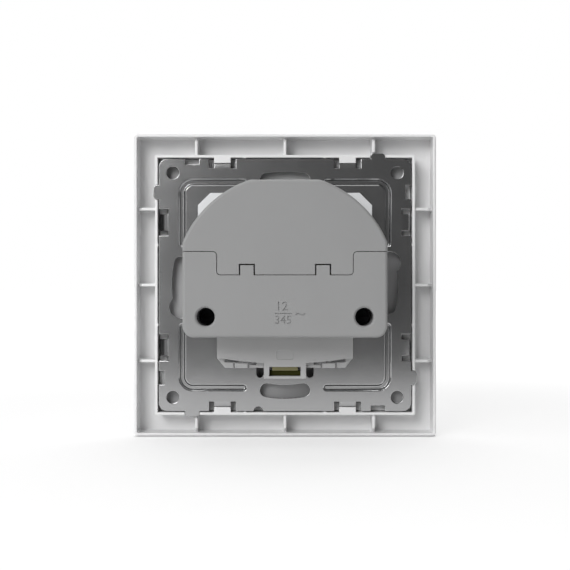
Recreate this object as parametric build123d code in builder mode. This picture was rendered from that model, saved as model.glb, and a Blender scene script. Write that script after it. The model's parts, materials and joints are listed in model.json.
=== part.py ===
from build123d import *
from math import asin, cos, degrees, radians, sin
import os

# Wall socket for a 60 mm round box: one earthed plug dish and two charging ports above it.
# X runs to the right and Z upwards as someone in the room sees the front.
# Y runs into the wall. The wall's surface is y = 0, and the origin is the middle of the
# mounting plate on that surface. Everything is drawn from its back and grown towards the room.

# Cover frame, the square moulding that hides the plate's edge
frame_depth = 9.5
bay_width = 5.05
frame_corner = 1.3
frame_front_round = 1.0
face_wall = 1.8
rim_wall = 0.85
hollow_corner = 0.5
window_step = 3.8
window_corner = 1.0
inner_wall = 0.8
rib_wall = 0.8
rib_drop = 0.9
rib_cutback = 1.3
rib_slope = 2.6
ribs_across = 25.0
ribs_down = 21.4
hook_width = 4.7
hook_reach = 1.5
hook_root = 0.95
hook_tip = 0.45
nub_offset = 11.25
nub_radius = 0.55
nub_reach = 0.22

# Mounting plate, pressed from sheet steel
plate_edge = 3.95
plate_wall = 1.0
plate_corner = 2.4
plate_play = 0.3
plate_clear = 0.9
corner_hole_step = 2.65
corner_hole = 3.5
box_screw_pitch = 60.0
slot_width = 3.75
slot_half_span = 7.0
key_width = 3.5
key_head = 6.3
key_head_offset = 6.2
key_tail_reach = 5.8
bead_clear = 0.45
bead_width = 1.9
bead_depth = 0.6
bead_flank = 0.48
bead_corner = 3.0
bead_end = 11.7
clip_offset = 17.6
clip_cut = 7.5
clip_depth = 2.7
tongue_width = 4.7
tongue_back = 0.2
tongue_drop = 1.1
tab_offset = 26.1
tab_width = 4.1
tab_reach = 1.5
tab_chamfer = 0.6
tab_gap = 4.2
tab_gap_depth = 2.4
tab_gap_cut = 3.2
notch_width = 3.9
notch_depth = 1.6
edge_notch_radius = 1.3
edge_notch_offset = 7.5
relief_width = 2.0
relief_length = 4.2
relief_offset = 7.0
relief_drop = 2.3

# Socket insert, the front with the plug dish and the port openings
insert_play = 0.2
insert_proud = 0.8
insert_wall = 1.2
insert_face = 2.0
insert_front_round = 0.6
dish_radius = 19.5
dish_wall = 1.2
dish_depth = 17.5
dish_floor = 1.5
dish_mouth_round = 0.6
guide_width = 4.6
guide_reach = 1.8
guide_drop = 3.0
pin_spacing = 19.0
pin_bore = 5.2
sleeve_wall = 1.1
earth_slot_play = 0.4

# Contact carrier, the white octagon behind the plate
carrier_side = 3.0
carrier_rise = 4.7
carrier_bottom = -12.0
carrier_chamfer = 3.4
carrier_ring = 2.2
carrier_play = 0.3

# Base body, the grey moulding on the carrier
base_depth = 6.0
base_floor = 1.8
base_wall = 1.5
base_inset = 0.5
lower_half = 18.4
lower_corner_rise = 0.7
lower_edge_half = 16.5
lower_edge_drop = 0.6
ledge_depth = 3.5
ledge_half = 16.4
ledge_drop = 1.9
tower_half = 5.7
tower_drop = 4.7
tower_window_width = 8.5
tower_window_drop = 1.5
tower_window_height = 2.5
hook_slot_rise = 0.9
outer_slot_centre = 14.6
outer_slot_width = 3.7
outer_slot_drop = 0.4
inner_slot_centre = 9.7
inner_slot_width = 3.7
inner_slot_drop = 1.0
snap_centre = 11.9
snap_width = 3.5
snap_height = 1.3
snap_rise = 1.0
snap_slit = 0.4
mark_width = 4.5
mark_height = 2.6
mark_rise = 1.8
mark_depth = 0.15
mark_corner = 0.65
partition_wall = 1.2
partition_bottom = 6.0
boss_radius = 3.0
post_radius = 1.5
post_low_across = 19.6
post_low_up = 9.8
post_high_across = 11.0
post_high_up = 21.8

# Rear housing in two covers
cover_depth = 16.0
cover_wall = 1.5
cover_edge_round = 0.8
housing_rise = 5.1
housing_side_flat = 2.2
housing_top_flat = 1.45
housing_bottom = -13.6
housing_corner = 2.7
housing_shoulder = 3.0
seam_high = 8.57
seam_low = 2.53
seam_step = 17.7
seam_corner = 1.0
seam_gap = 0.16
latch_centre = 9.83
latch_width = 3.45
latch_top = 5.12
latch_gap = 0.34
well_inset = 6.0
well_height = -8.26
well_bore = 4.75
well_wall = 1.1
well_rise = 2.0
well_lip = 0.45
entry_bore = 3.2
entry_spread = 4.2
pedestal_reach = 7.0

# Contacts, springs and screws
strip = 0.8
strap_width = 7.0
strap_ring = 5.0
strap_drop = 2.6
earth_leaf_reach = 1.5
earth_leaf_front = -7.0
earth_leaf_nose = 1.6
earth_leaf_flat = 7.2
earth_leaf_end = 9.6
contact_foot_width = 7.6
contact_foot_top = 3.4
contact_foot_bottom = -11.6
leaf_height = 5.0
leaf_length = 10.5
leaf_pinch = 0.1
link_width = 2.4
link_top = 9.6
link_pin = 1.0
spring_wall = 0.4
spring_width = 6.2
earth_spring_width = 5.6
screw_slot_width = 0.8
screw_slot_depth = 0.7
slip = 0.05
centre_screw_thread = 2.9
centre_screw_head = 5.8
centre_screw_head_height = 2.0
centre_screw_length = 8.5
carrier_screw_thread = 2.2
carrier_screw_head = 4.2
carrier_screw_head_height = 1.4
carrier_screw_length = 6.0
carrier_screw_inset = 2.0
carrier_screw_up = 9.5
cover_screw_thread = 2.2
cover_screw_head = 4.2
cover_screw_head_height = 1.8
cover_screw_length = 7.0

# Charging ports and their electronics
port_width = 12.5
port_height = 5.1
port_wall = 0.3
port_gap = 0.6
port_length = 13.0
port_clear = 0.4
port_rise = 0.4
tongue_plate_width = 11.1
tongue_plate_height = 1.84
tongue_plate_rise = 1.0
tongue_plate_recess = 1.0
port_block = 2.6
port_board_wall = 1.2
port_board_clear = 1.1
port_board_height = 5.9
header_pins_count = 4
header_pitch = 2.54
header_pin = 0.64
header_body_depth = 2.5
header_drop = 0.35
board_wall = 1.6
board_rise = 1.5
board_half = 22.6
board_bottom = 8.0
board_edge = 1.2
board_clear = 0.6
electronics_radius = 28.7
core_width = 11.0
core_height = 10.0
core_depth = 6.0
core_rise = 2.2
core_up = 16.2
bobbin_width = 7.4
bobbin_height = 6.0
bobbin_clear = 1.2
flange_inset = 0.6
flange_wall = 1.4
can_radius = 2.7
can_clear = 1.0
can_across = 10.0
can_up = 13.2
can_spacing = 6.0
output_can_radius = 2.7
output_can_length = 8.0
output_can_across = -11.4
output_can_up = 19.4
choke_radius = 2.5
choke_length = 7.0
choke_across = -18.4
choke_up = 12.2
chip_width = 4.4
chip_height = 2.0
chip_depth = 1.6
chip_across = -10.6
chip_up = 15.0
rectifier_width = 4.6
rectifier_height = 3.8
rectifier_depth = 2.4
rectifier_across = 12.8
rectifier_up = 19.0
fuse_radius = 0.9
fuse_length = 7.0
fuse_across = -10.4
fuse_up = 11.5

# Sizes that follow from those above. Across the wall they grow outwards from the dish: the
# ports above it, the plate's opening round both, the beads, the corner holes, the plate and the
# frame; the housing grows with the ports' header, and the electronics spread with the housing. Into the wall they start at the front: the dish, the ports, the carrier and the rest.
dish_outside = dish_radius + dish_wall
port_outer_width = port_width + 2 * port_wall
port_outer_height = port_height + 2 * port_wall
port_x = (port_outer_width + port_gap) / 2
port_z = dish_outside + port_rise + port_outer_height / 2
opening_half = port_x + port_outer_width / 2 + port_clear
opening_top = port_z + port_outer_height / 2 + port_clear
plate_opening = dish_outside + plate_clear
bead_pitch = 2 * (opening_top + bead_clear) + bead_width + bead_depth
corner_hole_pitch = bead_pitch + 2 * corner_hole_step
plate_half = corner_hole_pitch / 2 + plate_edge
plate_side = 2 * plate_half
window_side = plate_side - 2 * window_step
inner_wall_inside = plate_half + plate_play
inner_wall_outside = inner_wall_inside + inner_wall
frame_half = inner_wall_outside + bay_width + rim_wall
frame_side = 2 * frame_half
box_screw_radius = box_screw_pitch / 2
relief_height = -plate_opening - relief_drop
insert_side = window_side - 2 * insert_play
insert_front = -frame_depth - insert_proud
insert_back = -plate_wall
dish_floor_front = insert_front + dish_depth
dish_floor_back = dish_floor_front + dish_floor
port_front = insert_front + insert_face
port_rear = port_front + port_length
port_board_rear = port_rear + port_board_wall
carrier_depth = port_board_rear + port_board_clear
carrier_half = dish_outside + carrier_play + carrier_side
carrier_top = dish_outside + carrier_rise
carrier_screw_across = carrier_half - carrier_screw_inset
carrier_rear = carrier_depth
lower_corner_top = lower_corner_rise - dish_outside
lower_edge_middle = -dish_outside - lower_edge_drop
ledge_bottom = -dish_outside - ledge_drop
tower_bottom = -dish_outside - tower_drop
tower_window_top = -dish_outside - tower_window_drop
hook_slot_top = hook_slot_rise - dish_outside
outer_slot_low = -dish_outside - outer_slot_drop
inner_slot_low = -dish_outside - inner_slot_drop
mark_centre = mark_rise - dish_outside
strap_foot = -dish_outside - strap_drop
header_height = port_z - header_drop
board_top = header_height + board_edge
housing_radius = header_height + housing_rise
spread = housing_radius / electronics_radius
housing_half = housing_radius - housing_side_flat
housing_top = housing_radius - housing_top_flat
well_offset = housing_half - well_inset
base_rear = carrier_rear + base_depth
base_floor_front = base_rear - base_floor
ledge_rear = carrier_rear + ledge_depth
cover_rear = base_rear + cover_depth
cover_inside = cover_rear - cover_wall
pin_x = pin_spacing / 2
sleeve_outside = pin_bore + 2 * sleeve_wall
strap_rear = base_floor_front
strap_front = strap_rear - strip
arm_middle = dish_radius + strip / 2 + slip
well_floor = base_rear + well_rise
well_depth = cover_rear - well_floor
board_front = base_rear + board_rise
board_rear = board_front + board_wall
headroom = cover_inside - board_rear
bobbin_depth = headroom - bobbin_clear
can_length = headroom - can_clear
board_reach = housing_radius - cover_wall - board_clear
pedestal_front = cover_inside - pedestal_reach
beyond = 2 * frame_side


def at(y):
    """The plane parallel to the wall at depth y, with X and Z as its axes."""
    return Plane.XZ.offset(-y)


def across(side_angle, shift):
    """A plane square to the wall: its first axis runs into the wall and its second outwards
    over one side of the square (0 is the top), and it stands shift along that side."""
    turn = radians(side_angle)
    along = Vector(cos(turn), 0, -sin(turn))
    return Plane(origin=along * shift, x_dir=(0, 1, 0), z_dir=along)


def finish(part, name):
    """Label a piece and write it."""
    part.label = name
    export_step(part, f"parts/{name}.step")


os.makedirs("parts", exist_ok=True)

# Outline of the rear housing: a circle cut flat at the sides, the top and the bottom
with BuildSketch() as housing_outline:
    Circle(housing_radius)
    with Locations((0, (housing_top + housing_bottom) / 2)):
        Rectangle(2 * housing_half, housing_top - housing_bottom, mode=Mode.INTERSECT)
    low_corners = housing_outline.vertices().group_by(Axis.Y)[0]
    fillet(low_corners, housing_corner)
    high_corners = housing_outline.vertices().group_by(Axis.Y)[-1]
    fillet(high_corners, housing_shoulder)

with BuildSketch() as housing_inside:
    add(housing_outline.sketch)
    offset(amount=-cover_wall, mode=Mode.REPLACE)

# Everything below the seam, without the two latch tongues
with BuildSketch() as below_seam:
    with Locations((0, seam_high - beyond / 2)):
        Rectangle(beyond, beyond)
    with Locations((0, seam_low + beyond / 2)):
        Rectangle(2 * seam_step, beyond, mode=Mode.SUBTRACT)
    step_corners = below_seam.vertices().filter_by_position(Axis.X, -seam_step, seam_step)
    fillet(step_corners, seam_corner)

# Cover frame: a hollow square with a thin rim, an inner wall, ribs between them, four hooks
# that hold the plate's tongues and eight nubs that centre the plate
with BuildPart() as cover_frame:
    with BuildSketch(at(0)):
        RectangleRounded(frame_side, frame_side, frame_corner)
    extrude(amount=frame_depth)
    fillet(cover_frame.faces().sort_by(Axis.Y)[0].edges(), frame_front_round)
    with BuildSketch(at(0)):
        RectangleRounded(frame_side - 2 * rim_wall, frame_side - 2 * rim_wall, hollow_corner)
    extrude(amount=frame_depth - face_wall, mode=Mode.SUBTRACT)
    with BuildSketch(at(0)):
        RectangleRounded(2 * inner_wall_outside, 2 * inner_wall_outside, hollow_corner)
        Rectangle(2 * inner_wall_inside, 2 * inner_wall_inside, mode=Mode.SUBTRACT)
    extrude(amount=frame_depth - face_wall / 2)
    with BuildSketch(at(0)):
        RectangleRounded(window_side, window_side, window_corner)
    extrude(amount=frame_depth, mode=Mode.SUBTRACT)
    for side_angle, rib_shift in ((0, ribs_across), (90, ribs_down), (180, ribs_across), (270, ribs_down)):
        for shift in (-rib_shift, 0, rib_shift):
            with BuildSketch(across(side_angle, shift - rib_wall / 2)):
                with BuildLine():
                    Polyline(
                        (-rib_drop, inner_wall_outside - inner_wall / 2),
                        (-rib_drop, frame_half - rim_wall - rib_cutback),
                        (-rib_drop - rib_slope, frame_half - rim_wall / 2),
                        (-frame_depth + face_wall / 2, frame_half - rim_wall / 2),
                        (-frame_depth + face_wall / 2, inner_wall_outside - inner_wall / 2),
                        close=True,
                    )
                make_face()
            extrude(amount=rib_wall)
    with BuildSketch(at(0)):
        with PolarLocations(inner_wall_inside, 4):
            with Locations((0, tab_offset)):
                Rectangle(tab_gap_cut, tab_gap)
    extrude(amount=tab_gap_depth, mode=Mode.SUBTRACT)
    for side_angle in (0, 180):
        for shift in (-clip_offset, clip_offset):
            with BuildSketch(across(side_angle, shift - hook_width / 2)):
                with BuildLine():
                    Polyline(
                        (0, inner_wall_inside + inner_wall / 2),
                        (0, inner_wall_inside - hook_reach),
                        (-hook_tip, inner_wall_inside - hook_reach),
                        (-hook_root, inner_wall_inside),
                        (-hook_root, inner_wall_inside + inner_wall / 2),
                        close=True,
                    )
                make_face()
            extrude(amount=hook_width)
    nub_middle = inner_wall_inside + nub_radius - nub_reach
    with BuildSketch(at(0)):
        for shift in (-nub_offset, nub_offset):
            with PolarLocations(nub_middle, 4):
                with Locations((0, shift)):
                    Circle(nub_radius)
        Rectangle(2 * inner_wall_outside, 2 * inner_wall_outside, mode=Mode.INTERSECT)
    extrude(amount=plate_wall)
finish(cover_frame.part, "cover_frame")

# Mounting plate
key_head_angle = degrees(asin(key_head_offset / box_screw_radius))
key_tail_angle = degrees(asin((key_tail_reach - key_width / 2) / box_screw_radius))
slot_angle = degrees(asin((slot_half_span - slot_width / 2) / box_screw_radius))


def bead_shape(width):
    """Four corner beads as one sketch, each an L of the given width with round ends."""
    with BuildSketch() as beads:
        RectangleRounded(bead_pitch + width, bead_pitch + width, bead_corner + width / 2)
        RectangleRounded(
            bead_pitch - width, bead_pitch - width, bead_corner - width / 2, mode=Mode.SUBTRACT
        )
        Rectangle(2 * bead_end, beyond, mode=Mode.SUBTRACT)
        Rectangle(beyond, 2 * bead_end, mode=Mode.SUBTRACT)
        for end in (-bead_end, bead_end):
            with PolarLocations(bead_pitch / 2, 4):
                with Locations((0, end)):
                    Circle(width / 2)
    return beads.sketch


bead_groove = bead_shape(bead_width - 2 * bead_flank)
bead_ridge = bead_shape(bead_width + bead_depth)

with BuildPart() as mounting_plate:
    with BuildSketch(at(0)) as plate_outline:
        RectangleRounded(plate_side, plate_side, plate_corner)
        with PolarLocations(plate_half, 4):
            with Locations((0, tab_offset)):
                Rectangle(2 * tab_reach, tab_width)
        tips = plate_outline.vertices().filter_by(lambda v: max(abs(v.X), abs(v.Y)) > plate_half + slip)
        chamfer(tips, tab_chamfer)
        with PolarLocations(plate_half, 4):
            with Locations((0, -tab_offset)):
                Rectangle(2 * notch_depth, notch_width, mode=Mode.SUBTRACT)
        for shift in (-clip_offset, clip_offset):
            with PolarLocations(plate_half, 4):
                with Locations((0, shift)):
                    Rectangle(2 * clip_depth, clip_cut, mode=Mode.SUBTRACT)
        with Locations((edge_notch_offset, -plate_half)):
            Circle(edge_notch_radius, mode=Mode.SUBTRACT)
        with GridLocations(corner_hole_pitch, corner_hole_pitch, 2, 2):
            Circle(corner_hole / 2, mode=Mode.SUBTRACT)
        for middle in (90, 270):
            SlotArc(
                CenterArc((0, 0), box_screw_radius, middle - slot_angle, 2 * slot_angle),
                slot_width,
                mode=Mode.SUBTRACT,
            )
        for middle in (0, 180):
            SlotArc(
                CenterArc((0, 0), box_screw_radius, middle - key_head_angle, key_head_angle + key_tail_angle),
                key_width,
                mode=Mode.SUBTRACT,
            )
            with PolarLocations(box_screw_radius, 1, start_angle=middle - key_head_angle):
                Circle(key_head / 2, mode=Mode.SUBTRACT)
        with Locations((-relief_offset, relief_height), (relief_offset, relief_height)):
            SlotOverall(relief_length, relief_width, rotation=90, mode=Mode.SUBTRACT)
        Circle(plate_opening, mode=Mode.SUBTRACT)
        with Locations((0, opening_top / 2)):
            Rectangle(2 * opening_half, opening_top, mode=Mode.SUBTRACT)
        with GridLocations(2 * carrier_screw_across, 2 * carrier_screw_up, 2, 2):
            Circle(carrier_screw_thread / 2 + slip, mode=Mode.SUBTRACT)
    extrude(amount=plate_wall)
    with BuildSketch(at(-plate_wall)):
        add(bead_ridge)
    extrude(amount=bead_depth)
    chamfer(mounting_plate.edges(Select.LAST).group_by(Axis.Y)[0], bead_flank)
    with BuildSketch(at(0)):
        add(bead_groove)
    extrude(amount=bead_depth, mode=Mode.SUBTRACT)
    chamfer(mounting_plate.edges(Select.LAST).group_by(Axis.Y)[-1], bead_flank)
    # Sprung tongues in the clip cut-outs, bent towards the room
    tongue_root = plate_half - clip_depth
    tongue_tip = plate_half - tongue_back
    for side_angle in (0, 90, 180, 270):
        for shift in (-clip_offset, clip_offset):
            with BuildSketch(across(side_angle, shift - tongue_width / 2)):
                with BuildLine():
                    Polyline(
                        (0, tongue_root),
                        (-tongue_drop, tongue_tip),
                        (-tongue_drop - plate_wall, tongue_tip),
                        (-plate_wall, tongue_root),
                        close=True,
                    )
                make_face()
            extrude(amount=tongue_width)
finish(mounting_plate.part, "mounting_plate")

# Socket insert: a square front with a skirt that stands on the plate, the plug dish, its two pin
# sleeves and the two port openings
with BuildPart() as socket_insert:
    with BuildSketch(at(insert_back)):
        RectangleRounded(insert_side, insert_side, window_corner - insert_play)
    extrude(amount=insert_back - insert_front)
    fillet(socket_insert.faces().sort_by(Axis.Y)[0].edges(), insert_front_round)
    with BuildSketch(at(insert_back)):
        Rectangle(insert_side - 2 * insert_wall, insert_side - 2 * insert_wall)
    extrude(amount=insert_back - insert_front - insert_face, mode=Mode.SUBTRACT)
    with BuildSketch(at(dish_floor_back)):
        Circle(dish_outside)
    extrude(amount=dish_floor_back - insert_front - insert_face / 2)
    with BuildSketch(at(dish_floor_front)):
        Circle(dish_radius)
    extrude(amount=dish_depth, mode=Mode.SUBTRACT)
    front_edges = socket_insert.faces().sort_by(Axis.Y)[0].edges()
    mouth = front_edges.filter_by(GeomType.CIRCLE).sort_by(SortBy.RADIUS)[-1]
    fillet(mouth, dish_mouth_round)
    # Guides at the left and right of the dish
    with BuildSketch(at(dish_floor_front)):
        with PolarLocations(dish_radius, 2):
            Rectangle(2 * guide_reach, guide_width)
        Circle(dish_radius + dish_wall / 2, mode=Mode.INTERSECT)
    extrude(amount=dish_depth - guide_drop)
    # Pin sleeves reach back to the base body's floor
    with BuildSketch(at(base_floor_front)):
        with GridLocations(pin_spacing, 0, 2, 1):
            Circle(sleeve_outside / 2)
    extrude(amount=base_floor_front - dish_floor_back)
    with BuildSketch(at(base_floor_front)):
        with GridLocations(pin_spacing, 0, 2, 1):
            Circle(pin_bore / 2)
        Circle(centre_screw_thread / 2 + slip)
    extrude(amount=base_floor_front - dish_floor_front, mode=Mode.SUBTRACT)
    # Slots for the two earth leaves, open at the back
    slot_inside = dish_radius - dish_wall
    with BuildSketch(at(dish_floor_back)):
        for way in (-1, 1):
            with Locations((0, way * (slot_inside + dish_outside) / 2)):
                Rectangle(strap_width + 2 * earth_slot_play, dish_outside - slot_inside + 2 * slip)
    extrude(amount=dish_floor_back - earth_leaf_front + 2 * earth_slot_play, mode=Mode.SUBTRACT)
    # Port openings
    with BuildSketch(at(port_front)):
        with Locations((-port_x, port_z), (port_x, port_z)):
            Rectangle(port_width, port_height)
    extrude(amount=insert_face, mode=Mode.SUBTRACT)
finish(socket_insert.part, "socket_insert")

# Contact carrier: the white octagon that the plate is screwed to
with BuildPart() as contact_carrier:
    with BuildSketch(at(carrier_rear)) as carrier_outline:
        with Locations((0, (carrier_top + carrier_bottom) / 2)):
            Rectangle(2 * carrier_half, carrier_top - carrier_bottom)
        chamfer(carrier_outline.vertices(), carrier_chamfer)
        Circle(dish_outside + carrier_play + carrier_ring)
        Circle(dish_outside + carrier_play, mode=Mode.SUBTRACT)
        with Locations((0, beyond / 2)):
            Rectangle(2 * opening_half, beyond, mode=Mode.SUBTRACT)
    extrude(amount=carrier_depth)
    with BuildSketch(at(carrier_screw_length - plate_wall + carrier_play)):
        with GridLocations(2 * carrier_screw_across, 2 * carrier_screw_up, 2, 2):
            Circle(carrier_screw_thread / 2 + slip)
    extrude(amount=carrier_screw_length, mode=Mode.SUBTRACT)
finish(contact_carrier.part, "contact_carrier")

# Base body
with BuildSketch() as base_tray:
    add(housing_outline.sketch)
    offset(amount=-base_inset, mode=Mode.REPLACE)

with BuildSketch() as base_face:
    with BuildLine():
        Polyline(
            (-lower_edge_half, lower_corner_top),
            (-lower_half, lower_corner_top),
            (-lower_half, 0),
            (lower_half, 0),
            (lower_half, lower_corner_top),
            (lower_edge_half, lower_corner_top),
        )
        ThreePointArc(
            (lower_edge_half, lower_corner_top),
            (0, lower_edge_middle),
            (-lower_edge_half, lower_corner_top),
        )
    make_face()
    with Locations((0, tower_bottom / 2)):
        Rectangle(2 * tower_half, -tower_bottom)
    add(base_tray.sketch)

with BuildSketch() as base_ledge:
    with BuildLine():
        Polyline(
            (-ledge_half, ledge_bottom),
            (-lower_half, lower_corner_top),
            (-lower_half, 0),
            (lower_half, 0),
            (lower_half, lower_corner_top),
            (ledge_half, ledge_bottom),
            close=True,
        )
    make_face()

with BuildSketch() as base_pocket:
    add(base_face.sketch)
    offset(amount=-base_wall, kind=Kind.INTERSECTION, mode=Mode.REPLACE)

with BuildPart() as base_body:
    with BuildSketch(at(base_rear)):
        add(base_face.sketch)
    extrude(amount=base_depth)
    with BuildSketch(at(ledge_rear)):
        add(base_ledge.sketch)
    extrude(amount=ledge_depth)
    with BuildSketch(at(base_floor_front)):
        add(base_pocket.sketch)
    extrude(amount=base_floor_front - carrier_rear, mode=Mode.SUBTRACT)
    # Boss that the centre screw bites in, and bosses for the two cover screws
    with BuildSketch(at(base_rear)):
        Circle(boss_radius)
    extrude(amount=base_rear - dish_floor_back)
    with BuildSketch(at(base_rear + boss_radius)):
        Circle(boss_radius)
    extrude(amount=boss_radius)
    with BuildSketch(at(base_floor_front)):
        with Locations((-well_offset, well_height), (well_offset, well_height)):
            Circle(boss_radius)
    extrude(amount=base_floor_front - carrier_rear)
    with BuildSketch(at(dish_floor_back + carrier_play)):
        Circle(dish_outside + carrier_play)
        Circle(boss_radius, mode=Mode.SUBTRACT)
    extrude(amount=dish_floor_back + carrier_play - carrier_rear, mode=Mode.SUBTRACT)
    # Partition between the contacts and the charger
    with BuildSketch(at(cover_inside - slip)):
        with Locations((0, partition_bottom + partition_wall / 2)):
            Rectangle(2 * (housing_half - cover_wall - slip), partition_wall)
    extrude(amount=cover_depth - cover_wall - slip)
    # Posts for the main board
    with BuildSketch(at(board_front)):
        with Locations((-post_low_across, post_low_up), (post_low_across, post_low_up)):
            Circle(post_radius)
        with Locations((-post_high_across, post_high_up), (post_high_across, post_high_up)):
            Circle(post_radius)
    extrude(amount=board_rise)
    # Holes for the screws and the plug's pins
    with BuildSketch(at(base_rear + boss_radius)):
        Circle(centre_screw_thread / 2 + slip)
    extrude(amount=base_depth + boss_radius, mode=Mode.SUBTRACT)
    with BuildSketch(at(base_rear)):
        with Locations((-well_offset, well_height), (well_offset, well_height)):
            Circle(cover_screw_thread / 2 + slip)
        with GridLocations(pin_spacing, 0, 2, 1):
            Circle(pin_bore / 2 + carrier_play)
        with Locations((0, header_height)):
            Rectangle(header_pitch * header_pins_count + port_clear, header_pitch + port_clear)
    extrude(amount=base_depth, mode=Mode.SUBTRACT)
    # Gaps in the partition for the two links to the main board
    with BuildSketch(at(base_rear + 2 * strip)):
        with GridLocations(pin_spacing, 0, 2, 1):
            with Locations((0, partition_bottom + partition_wall / 2)):
                Rectangle(link_width + 2 * slip, 2 * partition_wall)
    extrude(amount=2 * strip, mode=Mode.SUBTRACT)
    # Window over the earth strap, with its wire entry below
    window_middle = tower_window_top - tower_window_height / 2
    with BuildSketch(at(base_rear)):
        with Locations((0, window_middle)):
            Rectangle(tower_window_width, tower_window_height)
    extrude(amount=base_depth, mode=Mode.SUBTRACT)
    earth_entry = (carrier_rear + strap_front) / 2
    with BuildSketch(Plane.XY.offset(tower_bottom)):
        with Locations((0, earth_entry)):
            Circle(entry_bore / 2)
    extrude(amount=base_wall, mode=Mode.SUBTRACT)
    # Snap hooks on the ledge, each with two slots above it and a slit at each side
    snap_middle = ledge_bottom + snap_height / 2
    with BuildSketch(at(ledge_rear)):
        for way in (-1, 1):
            for centre, width, low in (
                (outer_slot_centre, outer_slot_width, outer_slot_low),
                (inner_slot_centre, inner_slot_width, inner_slot_low),
            ):
                with Locations((way * centre, (hook_slot_top + low) / 2)):
                    Rectangle(width, hook_slot_top - low)
            for side in (-1, 1):
                slit_x = way * snap_centre + side * (snap_width + snap_slit) / 2
                with Locations((slit_x, snap_middle)):
                    Rectangle(snap_slit, snap_height)
    extrude(amount=ledge_depth, mode=Mode.SUBTRACT)
    with BuildSketch(at(ledge_rear + snap_rise)):
        with Locations((-snap_centre, snap_middle), (snap_centre, snap_middle)):
            Rectangle(snap_width, snap_height)
    extrude(amount=snap_rise)
    # Shallow round-cornered field below the rear housing
    with BuildSketch(at(base_rear)):
        with Locations((0, mark_centre)):
            RectangleRounded(mark_width, mark_height, mark_corner)
    extrude(amount=mark_depth, mode=Mode.SUBTRACT)
finish(base_body.part, "base_body")

# Rear housing, lower cover: two deep screw wells, two latch tongues, the wire entries in its
# underside and the pedestals that back the clamp springs
latch_middle = (latch_top + seam_low) / 2
wells = ((-well_offset, well_height), (well_offset, well_height))
entries = [way * pin_x + side * entry_spread / 2 for way in (-1, 1) for side in (-1, 1)]
entry_depth = base_rear + strip + entry_bore / 2

with BuildPart() as rear_cover_lower:
    with BuildSketch(at(cover_rear)):
        add(housing_outline.sketch)
    extrude(amount=cover_depth)
    fillet(rear_cover_lower.faces().sort_by(Axis.Y)[-1].edges(), cover_edge_round)
    with BuildSketch(at(cover_inside)):
        add(housing_inside.sketch)
    extrude(amount=cover_depth - cover_wall, mode=Mode.SUBTRACT)
    with BuildSketch(at(cover_rear)):
        add(below_seam.sketch)
        with Locations((-latch_centre, latch_middle), (latch_centre, latch_middle)):
            Rectangle(latch_width, latch_top - seam_low)
    extrude(amount=cover_depth, mode=Mode.INTERSECT)
    with BuildSketch(at(cover_inside)):
        with Locations(*wells):
            Circle(well_bore / 2 + well_wall)
    extrude(amount=cover_depth - cover_wall)
    spring_top = -leaf_height / 2 - strip
    spring_middle = (spring_top + housing_bottom + cover_wall) / 2
    with BuildSketch(at(cover_inside)):
        with Locations((-pin_x, spring_middle), (pin_x, spring_middle)):
            Rectangle(spring_width, spring_top - housing_bottom - cover_wall)
    extrude(amount=pedestal_reach)
    with BuildSketch(at(cover_rear)):
        with Locations(*wells):
            Circle(well_bore / 2)
    extrude(amount=well_depth, mode=Mode.SUBTRACT)
    with BuildSketch(at(cover_rear)):
        with Locations(*wells):
            Circle(cover_screw_thread / 2 + slip)
    extrude(amount=cover_depth, mode=Mode.SUBTRACT)
    lips = rear_cover_lower.faces().sort_by(Axis.Y)[-1].edges().filter_by(GeomType.CIRCLE)
    lips = lips.filter_by(lambda edge: abs(edge.radius - well_bore / 2) < slip)
    chamfer(lips, well_lip)
    with BuildSketch(Plane.XY.offset(housing_bottom)):
        for entry_x in entries:
            with Locations((entry_x, entry_depth)):
                Circle(entry_bore / 2)
    extrude(amount=cover_wall, mode=Mode.SUBTRACT)
finish(rear_cover_lower.part, "rear_cover_lower")

with BuildPart() as rear_cover_upper:
    with BuildSketch(at(cover_rear)):
        add(housing_outline.sketch)
    extrude(amount=cover_depth)
    fillet(rear_cover_upper.faces().sort_by(Axis.Y)[-1].edges(), cover_edge_round)
    with BuildSketch(at(cover_inside)):
        add(housing_inside.sketch)
    extrude(amount=cover_depth - cover_wall, mode=Mode.SUBTRACT)
    with BuildSketch(at(cover_rear)):
        add(below_seam.sketch)
        offset(amount=seam_gap, kind=Kind.INTERSECTION, mode=Mode.REPLACE)
        with Locations((-latch_centre, latch_middle), (latch_centre, latch_middle)):
            Rectangle(latch_width + 2 * latch_gap, latch_top - seam_low + 2 * latch_gap)
    extrude(amount=cover_depth, mode=Mode.SUBTRACT)
finish(rear_cover_upper.part, "rear_cover_upper")

# Earth strap: a bar behind the dish, two arms with folded leaves that reach into the dish,
# a ring round the centre screw's boss and a foot in the tower's window
with BuildPart() as earth_strap:
    with BuildSketch(at(strap_rear)):
        with Locations((0, (arm_middle + strap_foot) / 2)):
            Rectangle(strap_width, arm_middle - strap_foot)
        Circle(strap_ring)
        Circle(boss_radius + slip, mode=Mode.SUBTRACT)
    extrude(amount=strip)
    leaf_inside = dish_radius - earth_leaf_reach
    for side_angle in (0, 180):
        with BuildSketch(across(side_angle, -strap_width / 2)):
            with BuildLine():
                Polyline(
                    (strap_rear, arm_middle),
                    (earth_leaf_front + strip, arm_middle),
                    (earth_leaf_front, (arm_middle + leaf_inside) / 2),
                    (earth_leaf_front + earth_leaf_nose, leaf_inside),
                    (earth_leaf_front + earth_leaf_flat, leaf_inside),
                    (earth_leaf_front + earth_leaf_end, dish_radius - strip / 2 - slip),
                )
            trace(line_width=strip)
        extrude(amount=strap_width)
finish(earth_strap.part, "earth_strap")


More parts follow.
